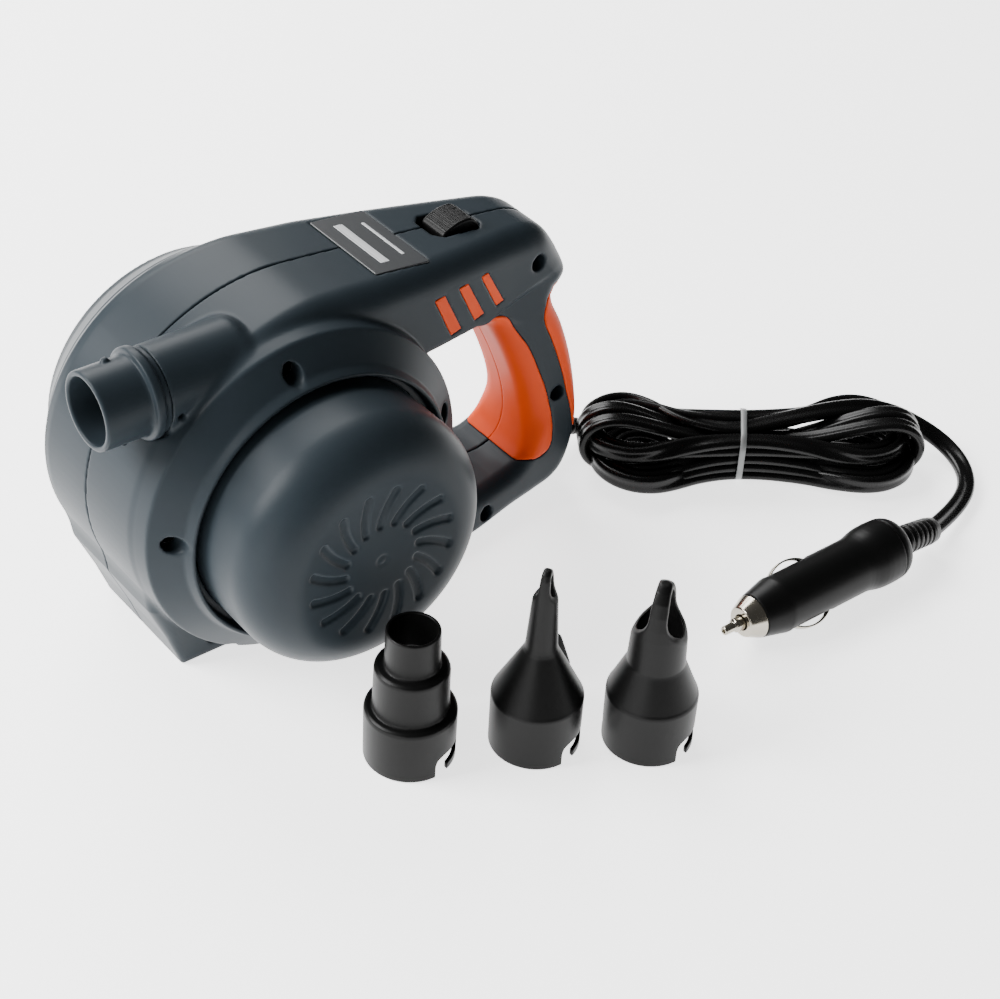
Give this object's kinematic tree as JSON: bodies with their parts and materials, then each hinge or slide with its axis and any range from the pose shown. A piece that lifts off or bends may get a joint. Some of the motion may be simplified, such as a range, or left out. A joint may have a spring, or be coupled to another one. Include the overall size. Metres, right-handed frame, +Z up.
{
  "type": "electric air mattress pump",
  "caption": "Handled electric air pump with a round motor cover, side outlet spigot, three nozzle adapters and a hanked lead with a car plug.",
  "frame": {"origin": "on the floor plane that the pump's foot rests on, directly below the axis of the motor and fan, on the parting plane's near side", "axes": "+Z up, +X from the fan drum towards the handle, -X the way the outlet spigot blows, -Y the side of the round motor cover"},
  "size_m": [0.3358, 0.2132, 0.1279],
  "materials": {
    "slate_plastic": "satin",
    "orange_soft": "soft touch",
    "black_plastic": "satin",
    "label_film": "semi-gloss",
    "steel": "plated",
    "nickel": "nickel plated",
    "copper": "enamelled winding",
    "magnet": "sintered",
    "cord_pvc": "semi-gloss",
    "tie_nylon": "satin",
    "fan_nylon": "as moulded",
    "fuse_glass": "clear",
    "wire_red": "as extruded"
  },
  "bodies": {
    "pump": {"near_housing": "slate_plastic", "far_housing": "slate_plastic", "near_front_grip": "orange_soft", "near_back_grip": "orange_soft", "far_front_grip": "orange_soft", "far_back_grip": "orange_soft", "near_accent_1": "orange_soft", "near_accent_2": "orange_soft", "near_accent_3": "orange_soft", "far_accent_1": "orange_soft", "far_accent_2": "orange_soft", "far_accent_3": "orange_soft", "motor_cover": "slate_plastic", "intake_grille": "slate_plastic", "outlet_spigot": "slate_plastic", "screw_nose": "steel", "screw_foot": "steel", "screw_lower_arm": "steel", "screw_handle": "steel", "screw_ring_top": "steel", "screw_ring_right": "steel", "screw_ring_left": "steel", "motor_can": "steel", "motor_end_cap": "black_plastic", "motor_magnets": "magnet", "fan_plate": "slate_plastic", "switch_body": "black_plastic", "label_plate": "label_film", "cord_gland": "black_plastic", "cord_hank": "cord_pvc", "cable_tie": "tie_nylon", "cord_start": "cord_pvc", "cord_lead": "cord_pvc", "plug_body": "black_plastic", "plug_cone": "nickel", "plug_strain_relief": "black_plastic", "wire_supply": "wire_red"},
    "rotor": {"impeller": "fan_nylon", "motor_shaft": "steel", "motor_armature": "copper"},
    "switch": {"switch_button": "black_plastic"},
    "plug_pin_set": {"plug_pin": "nickel", "plug_fuse": "fuse_glass", "plug_fuse_stop": "nickel"},
    "contact_near": {"plug_contact_near": "nickel"},
    "contact_far": {"plug_contact_far": "nickel"},
    "stepped_adapter": {"nozzle_stepped": "black_plastic"},
    "needle_adapter": {"nozzle_needle": "black_plastic"},
    "valve_adapter": {"nozzle_valve": "black_plastic"}
  },
  "joints": [
    {"name": "impeller_spin", "type": "hinge", "parent": "pump", "child": "rotor", "pos_m": [0, 0, 0.0627], "axis": [0, 1, 0], "continuous": true},
    {"name": "switch_slide", "type": "slide", "parent": "pump", "child": "switch", "axis": [-0.9952, 0, 0.0975], "range_m": [0, 0.0024]},
    {"name": "pin_plunge", "type": "slide", "parent": "pump", "child": "plug_pin_set", "axis": [1, 0, 0], "range_m": [0, 0.002], "stiffness_N_per_m": 1500, "springref_m": -0.004},
    {"name": "contact_near_press", "type": "slide", "parent": "pump", "child": "contact_near", "axis": [0, 0.788, 0.6157], "range_m": [0, 0.0012], "stiffness_N_per_m": 2500, "springref_m": -0.0004},
    {"name": "contact_far_press", "type": "slide", "parent": "pump", "child": "contact_far", "axis": [0, -0.788, -0.6157], "range_m": [0, 0.0012], "stiffness_N_per_m": 2500, "springref_m": -0.0004},
    {"name": "stepped_lift", "type": "slide", "parent": "pump", "child": "stepped_adapter", "axis": [0, 0, 1], "range_m": [0, 0.06]},
    {"name": "needle_lift", "type": "slide", "parent": "pump", "child": "needle_adapter", "axis": [0, 0, 1], "range_m": [0, 0.06]},
    {"name": "valve_lift", "type": "slide", "parent": "pump", "child": "valve_adapter", "axis": [0, 0, 1], "range_m": [0, 0.06]}
  ]
}
